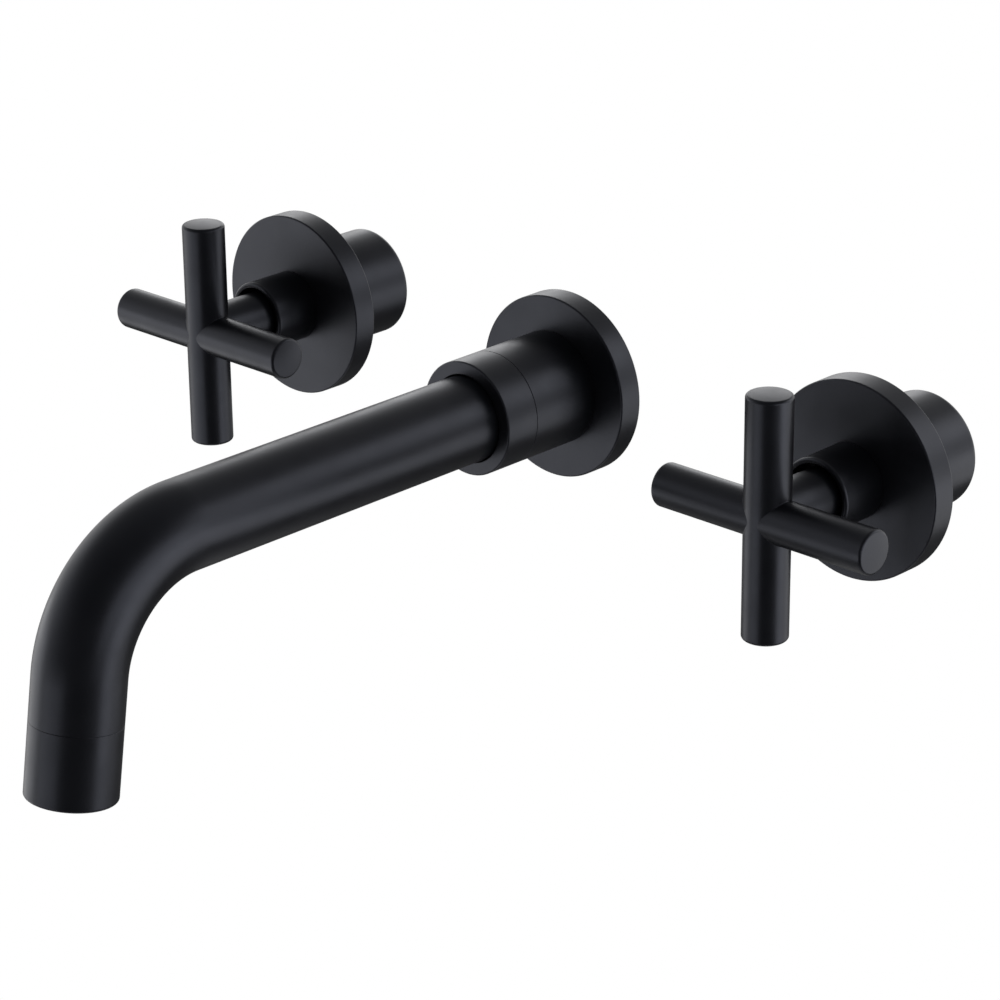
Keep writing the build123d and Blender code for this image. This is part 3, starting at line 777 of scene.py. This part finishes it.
class FAUCET_OT_collar(FaucetOperator, bpy.types.Operator):
    """Make the collar on the spout flange: rear sleeve and front ring, with a seam between them"""

    bl_idname = "faucet.collar"
    bl_label = "Collar"

    def execute(self, context):
        sizes = self.sizes
        _, radius, rear, seam = span("collar_sleeve")
        bore = radius - sizes.collar_wall
        corners = [(radius, rear, SEAT_ROUND), (radius, seam, SEAM_ROUND),
                   (bore, seam, SEAT_ROUND), (bore, rear, SEAT_ROUND)]
        turned_piece("collar_barrel", "collar_sleeve", 0, corners, sizes)
        _, radius, spigot_rear, front = span("collar_ring")
        mouth, spigot = radius - sizes.collar_mouth_wall, bore - SEAT_GAP
        corners = [(radius, seam, SEAM_ROUND), (radius, front, sizes.edge_round),
                   (mouth, front, MOUTH_ROUND), (mouth, spigot_rear, SEAT_ROUND),
                   (spigot, spigot_rear, SEAT_ROUND), (spigot, seam, SEAT_ROUND)]
        turned_piece("collar_nut", "collar_ring", 0, corners, sizes)
        return {"FINISHED"}


class SpoutLine:
    """Centre line of the spout, worked out from its tube's box and its bend."""

    def __init__(self, sizes):
        low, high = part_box("spout_tube")
        self.radius = (high.x - low.x) / 2
        self.bend, self.turn = sizes.bend_radius, sizes.bend_angle
        sin, cos = math.sin(self.turn), math.cos(self.turn)
        self.rear = -high.y
        self.end_length = (-low.z - self.bend * (1 - cos) - self.radius * cos) / sin
        self.bend_out = -low.y - (self.bend + self.radius) * sin - self.end_length * cos
        self.direction = np.array([0, -cos, -sin])
        self.end = (np.array([0, -self.bend_out, 0]) + self.bend * np.array([0, -sin, cos - 1])
                    + self.end_length * self.direction)
        self.upward = np.array([0, -sin, cos])

    def stations(self, inset):
        """Centres and outward normals of the line, a row each, short of both ends by the inset."""
        straight = np.linspace(self.rear + inset, self.bend_out, TUBE_ROWS, endpoint=False)
        angle = np.linspace(0, self.turn, BEND_ROWS, endpoint=False)
        run = np.linspace(0, self.end_length - inset, END_ROWS)[:, None]
        first = np.stack([0 * straight, -straight, 0 * straight], 1)
        middle = np.stack([0 * angle, -self.bend_out - self.bend * np.sin(angle),
                           self.bend * (np.cos(angle) - 1)], 1)
        last = self.end - self.direction * (self.end_length - run)
        outward = np.concatenate([np.tile([0.0, 0.0, 1.0], (len(first), 1)),
                                  np.stack([0 * angle, -np.sin(angle), np.cos(angle)], 1),
                                  np.tile(self.upward, (len(last), 1))])
        return np.concatenate([first, middle, last]), outward


class FAUCET_OT_spout_tube(FaucetOperator, bpy.types.Operator):
    """Make the spout's tube: a round wall carried straight out from the wall and down its bend"""

    bl_idname = "faucet.spout_tube"
    bl_label = "Spout Tube"

    def rim(self, line, origin, direction, bore):
        """Rounded rim at one end of the tube, where the direction leaves the tube."""
        edge = self.sizes.tube_round
        corner = np.linspace(0, math.pi / 2, self.sizes.arc_steps + 1)
        cos, sin = np.cos(corner), np.sin(corner)
        outline = np.concatenate([np.stack([line.radius - edge + edge * cos, edge * sin - edge], 1),
                                  np.stack([bore + edge - edge * sin, edge * cos - edge], 1)])
        normals = np.concatenate([np.stack([cos, sin], 1), np.stack([-sin, cos], 1)])
        return turned(origin, direction, outline, normals, full_turn(self.sizes.segments), False)

    def execute(self, context):
        sizes = self.sizes
        line = SpoutLine(sizes)
        centres, outward = line.stations(sizes.tube_round)
        angle = full_turn(sizes.segments)
        spoke = (X_AXIS * np.cos(angle)[None, :, None]
                 + outward[:, None, :] * np.sin(angle)[None, :, None])
        bore = line.radius - sizes.tube_wall
        sheets = [(centres[:, None] + line.radius * spoke, spoke, False, True),
                  (centres[:, None] + bore * spoke, -spoke, False, True),
                  self.rim(line, (0, -line.rear, 0), (0, 1, 0), bore),
                  self.rim(line, line.end, line.direction, bore)]
        piece_from("spout_pipe", sheets, "spout_tube")
        return {"FINISHED"}


class FAUCET_OT_aerator(FaucetOperator, bpy.types.Operator):
    """Make the ring of the aerator at the spout's outlet, with a rounded rim"""

    bl_idname = "faucet.aerator"
    bl_label = "Aerator"

    def execute(self, context):
        sizes = self.sizes
        line = SpoutLine(sizes)
        low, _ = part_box("aerator_housing")
        rim = (line.end[2] - low.z - line.radius * math.cos(line.turn)) / math.sin(line.turn)
        bore, edge = sizes.aerator_mouth, sizes.tube_round
        corners = [(line.radius, 0, edge), (line.radius, rim, sizes.aerator_round),
                   (bore, rim, sizes.inner_round), (bore, 0, edge)]
        outline, normals = rounded_profile(corners, sizes.arc_steps)
        shell = turned(line.end, line.direction, outline, normals, full_turn(sizes.segments))
        piece_from("aerator_ring", [shell], "aerator_housing")
        return {"FINISHED"}


class FAUCET_OT_port_threads(FaucetOperator, bpy.types.Operator):
    """Line the threaded ports of the valves and the spout with helical pipe threads"""

    bl_idname = "faucet.port_threads"
    bl_label = "Port Threads"

    def lining(self, port, pitch, inset):
        """Grids of a threaded lining along a port's bore, from its mouth inwards.

        inner radius = bore - thread depth * growth * flank, where the flank is a triangle wave of
        turn / a full turn + height / pitch, cut flat at its top and bottom, and the growth goes
        from 0 to 1 over the first half pitch.
        """
        sizes = self.sizes
        bore, depth = port["dims"]["r_mm"] * MM, port["dims"]["length_mm"] * MM
        inward = -np.array(port["axis"], float)
        rows = math.ceil(THREAD_ROWS * (depth - inset) / pitch) + 1
        heights = np.linspace(inset, depth, rows)[:, None]
        angle = full_turn(sizes.segments)[None]
        growth = np.clip(2 * (heights - inset) / pitch, 0, 1)
        phase = (angle / (2 * math.pi) + heights / pitch) % 1
        flank = np.clip(FLANK_SLOPE * np.abs(phase - 0.5) - FLANK_CUT, 0, 1)
        radius = (bore - THREAD_GAP - sizes.thread_depth * growth * flank)[..., None]
        slope = np.gradient(radius, heights[:, 0], axis=0)
        third = np.cross(inward, X_AXIS)
        spoke = X_AXIS * np.cos(angle[..., None]) + third * np.sin(angle[..., None])
        along = np.cross(inward, spoke)
        start = np.array(port["pos_m"], float)
        place = start + inward * heights[..., None] + spoke * radius
        facing = inward * slope + along * slope * pitch / (2 * math.pi * radius) - spoke
        outer = start + inward * heights[[0, -1]][..., None] + spoke * (bore - LINING_GAP)
        ends = [(np.stack([place[row], outer[row]]),
                 np.broadcast_to(inward * way, (2, *spoke[0].shape)), False, True)
                for row, way in ((0, -1), (-1, 1))]
        return [(place, facing, False, True), *ends,
                (outer, np.broadcast_to(spoke, outer.shape), False, True)]

    def execute(self, context):
        sizes = self.sizes
        threads = {"inlet": (sizes.inlet_pitch, sizes.inlet_inset),
                   "outlet": (sizes.outlet_pitch, sizes.outlet_inset)}
        for port in frame["record"]["mounts"]:
            name = port["name"]
            if port["kind"] == "threaded_hole":
                sheets = self.lining(port, *threads[name.split("_")[-1]])
                piece_from(f"{name}_thread", sheets, slot="brass", finish="bare_brass")
        return {"FINISHED"}


class FAUCET_OT_carried_pieces(FaucetOperator, bpy.types.Operator):
    """Give each CAD piece that stays its finish, from the record's material slots"""

    bl_idname = "faucet.carried_pieces"
    bl_label = "Carried Pieces"

    def execute(self, context):
        slots = {part["node"]: part["material_slot"] for part in frame["record"]["subparts"]}
        slots.update(hot_valve_body="valve_body", cold_valve_body="valve_body",
                     spout_adapter="bare_brass")
        for name, node in frame["nodes"].items():
            node.data.materials.clear()
            node.data.materials.append(finish_of(slots[name]))
        return {"FINISHED"}


# Two ends of each fade, as (at, share of white): of a reflection by its direction's height and by
# how far it leads away from the camera, and of the floor by its distance over the half width.
HORIZON_FADE = (-0.5, 0.0), (-0.05, 1.0)
OVERHEAD_FADE = (0.35, 1.0), (0.7, 0.2)
ROOM_FADE = (-0.95, 0.05), (0.6, 1.0)
FLOOR_FADE = (0.3, 0.6), (0.95, 1.0)

# Each lamp's place, width and height in metres, and its brightness against white.
LAMPS = {
    "left_soft_box": ((-0.375, -0.265, -0.154), 0.38, 0.36, 1.08),
    "front_soft_box": ((-0.2, -1.0, -0.4), 0.8, 0.5, 1.1),
    "back_soft_box": ((-0.56, 0.6, 0.22), 0.45, 0.3, 1.5),
    "under_soft_box": ((-0.65, -0.3, -0.55), 0.3, 0.3, 0.5),
    "top_soft_box": ((0.5, 0.62, 0.42), 0.5, 0.4, 1.1),
    "right_soft_box": ((0.55, 0.35, -0.24), 0.9, 0.4, 1.0),
    "side_soft_box": ((0.6, 0.0, 0.06), 0.6, 0.3, 1.2),
    "low_soft_box": ((0.62, 0.14, -0.24), 0.35, 0.4, 0.7),
}


class FAUCET_OT_stage(FaucetOperator, bpy.types.Operator):
    """Set up the pale floor, the soft lights and the camera"""

    bl_idname = "faucet.stage"
    bl_label = "Stage"

    def make_camera(self, stage):
        """Camera that keeps the spout flange's front at its place in the view."""
        azimuth, elevation, roll = stage.camera_azimuth, stage.camera_elevation, stage.camera_roll
        back = Vector((math.sin(azimuth) * math.cos(elevation),
                       -math.cos(azimuth) * math.cos(elevation), math.sin(elevation)))
        level = Vector((math.cos(azimuth), math.sin(azimuth), 0))
        upright = back.cross(level)
        right = math.cos(roll) * level + math.sin(roll) * upright
        up = math.cos(roll) * upright - math.sin(roll) * level
        target = Vector((0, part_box("spout_flange")[0].y, 0))
        place = target - right * stage.aim_right - up * stage.aim_up + back * stage.camera_distance
        data = bpy.data.cameras.new("faucet_camera")
        data.lens, data.clip_start = stage.camera_lens, 10 * MM
        camera = placed("faucet_camera", data)
        turn = Matrix((right, up, back)).transposed().to_4x4()
        camera.matrix_world = Matrix.Translation(place) @ turn
        bpy.context.scene.camera = camera

    def make_lamp(self, name, place, width, height, strength):
        """Soft box that faces the faucet's middle, and is strength times as bright as white."""
        data = bpy.data.lights.new(name, "AREA")
        data.shape = "RECTANGLE"
        data.size, data.size_y = width, height
        data.energy = strength * math.pi * width * height
        lamp = placed(name, data)
        lamp.location = place
        middle = (LOADED_BOX[0] + LOADED_BOX[1]) / 2
        lamp.rotation_mode = "QUATERNION"
        lamp.rotation_quaternion = (middle - Vector(place)).to_track_quat("-Z", "Y")
        lamp.visible_camera = False

    def white_rays(self, tree):
        """1 for rays from the camera, and 1 for those in a reflection or through glass."""
        rays = tree.nodes.new("ShaderNodeLightPath").outputs
        shine = number(tree, "MAXIMUM", rays["Is Glossy Ray"], rays["Is Transmission Ray"])
        return rays["Is Camera Ray"], shine

    def ramp(self, tree, value, lows, highs):
        """The value taken smoothly from one result to another, each given as (at, result)."""
        node = tree.nodes.new("ShaderNodeMapRange")
        node.interpolation_type = "SMOOTHSTEP"
        tree.links.new(value, node.inputs["Value"])
        for end, (at, result) in (("Min", lows), ("Max", highs)):
            set_values(node, {f"From {end}": at, f"To {end}": result})
        return node.outputs["Result"]

    def mixed(self, tree, share, first, second, output):
        """The two shaders mixed by the share, joined to the material's or the world's output."""
        mix = tree.nodes.new("ShaderNodeMixShader")
        for socket, source in zip(mix.inputs, (share, first.outputs[0], second.outputs[0])):
            tree.links.new(source, socket)
        tree.links.new(mix.outputs[0], tree.nodes[output].inputs["Surface"])

    def make_world(self, stage):
        """White behind the faucet and in its reflections, and a plain fill light elsewhere.

        In a reflection the white fades below the horizon, overhead, and towards the camera's side
        of the room.
        """
        world = bpy.data.worlds.new("studio")
        world.use_nodes = True
        tree = world.node_tree
        direction = tree.nodes.new("ShaderNodeTexCoord").outputs["Generated"]
        away = (-math.sin(stage.camera_azimuth), math.cos(stage.camera_azimuth), 0)
        height, depth = (math_node(tree, "ShaderNodeVectorMath", "DOT_PRODUCT", direction,
                                   line).outputs["Value"] for line in ((0, 0, 1), away))
        horizon = self.ramp(tree, height, *HORIZON_FADE)
        overhead = self.ramp(tree, height, *OVERHEAD_FADE)
        behind = self.ramp(tree, depth, *ROOM_FADE)
        mirrored = number(tree, "MULTIPLY", number(tree, "MULTIPLY", horizon, overhead), behind)
        camera, shine = self.white_rays(tree)
        white_part = number(tree, "MAXIMUM", camera, number(tree, "MULTIPLY", mirrored, shine))
        fill, white = tree.nodes["Background"], tree.nodes.new("ShaderNodeBackground")
        fill.inputs["Color"].default_value = white.inputs["Color"].default_value = (1, 1, 1, 1)
        dim = number(tree, "MULTIPLY", shine, stage.dark_side - stage.fill_level)
        tree.links.new(number(tree, "ADD", dim, stage.fill_level), fill.inputs["Strength"])
        self.mixed(tree, white_part, fill, white, "World Output")
        bpy.context.scene.world = world

    def make_floor(self, stage):
        """Plain pale floor: a flat grid below the spout, whose rim fades into the white behind."""
        half = stage.floor_size
        across = np.linspace(-half, half, FLOOR_ROWS)
        x, y = np.meshgrid(across, across, indexing="ij")
        place = np.stack([x, y, np.full_like(x, LOADED_BOX[0].z - stage.floor_drop)], -1)
        mesh = bpy.data.meshes.new("floor")
        mesh.from_pydata(place.reshape(-1, 3).tolist(), [],
                         sheet_faces(FLOOR_ROWS, FLOOR_ROWS, False, False).tolist())
        finish = Finish("pale_floor")
        tree = finish.tree
        finish.constants(Base_Color=(*stage.floor_colour, 1), Roughness=0.9)
        flat = math_node(tree, "ShaderNodeVectorMath", "MULTIPLY", finish.place, (1, 1, 0))
        distance = math_node(tree, "ShaderNodeVectorMath", "LENGTH", flat.outputs[0])
        fade = self.ramp(tree, distance.outputs["Value"],
                         *((half * share, white) for share, white in FLOOR_FADE))
        white_part = number(tree, "MULTIPLY", self.white_rays(tree)[0], fade)
        glow = tree.nodes.new("ShaderNodeEmission")
        self.mixed(tree, white_part, finish.shader, glow, "Material Output")
        mesh.materials.append(finish.material)
        placed("floor", mesh)

    def execute(self, context):
        stage = bpy.context.scene.faucet_stage
        self.make_camera(stage)
        self.make_world(stage)
        self.make_floor(stage)
        for name, lamp in LAMPS.items():
            self.make_lamp(name, *lamp)
        bpy.context.scene.view_settings.view_transform = "Standard"
        return {"FINISHED"}


class FAUCET_PT_panel(bpy.types.Panel):
    """The faucet's operators and settings"""

    bl_idname = "FAUCET_PT_panel"
    bl_label = "Faucet"
    bl_space_type = "VIEW_3D"
    bl_region_type = "UI"
    bl_category = "Faucet"

    def draw(self, context):
        for operator in OPERATORS:
            self.layout.operator(operator.bl_idname)
        for key, group in GROUPS.items():
            for name in group.__annotations__:
                self.layout.prop(getattr(context.scene, key), name)


GROUPS = {"faucet_sizes": FaucetSizes, "faucet_finishes": FaucetFinishes,
          "faucet_stage": FaucetStage}
OPERATORS = (FAUCET_OT_carried_pieces, FAUCET_OT_flanges, FAUCET_OT_sleeves,
             FAUCET_OT_cross_handles, FAUCET_OT_collar, FAUCET_OT_spout_tube, FAUCET_OT_aerator,
             FAUCET_OT_port_threads, FAUCET_OT_stage)


def register():
    for kind in (*GROUPS.values(), *OPERATORS, FAUCET_PT_panel):
        bpy.utils.register_class(kind)
    for name, group in GROUPS.items():
        setattr(bpy.types.Scene, name, PointerProperty(type=group))


def unregister():
    for name in GROUPS:
        delattr(bpy.types.Scene, name)
    for kind in (FAUCET_PT_panel, *reversed(OPERATORS), *reversed(GROUPS.values())):
        bpy.utils.unregister_class(kind)


def main():
    register()
    for operator in OPERATORS:
        group, name = operator.bl_idname.split(".")
        getattr(getattr(bpy.ops, group), name)()


if __name__ == "__main__":
    main()
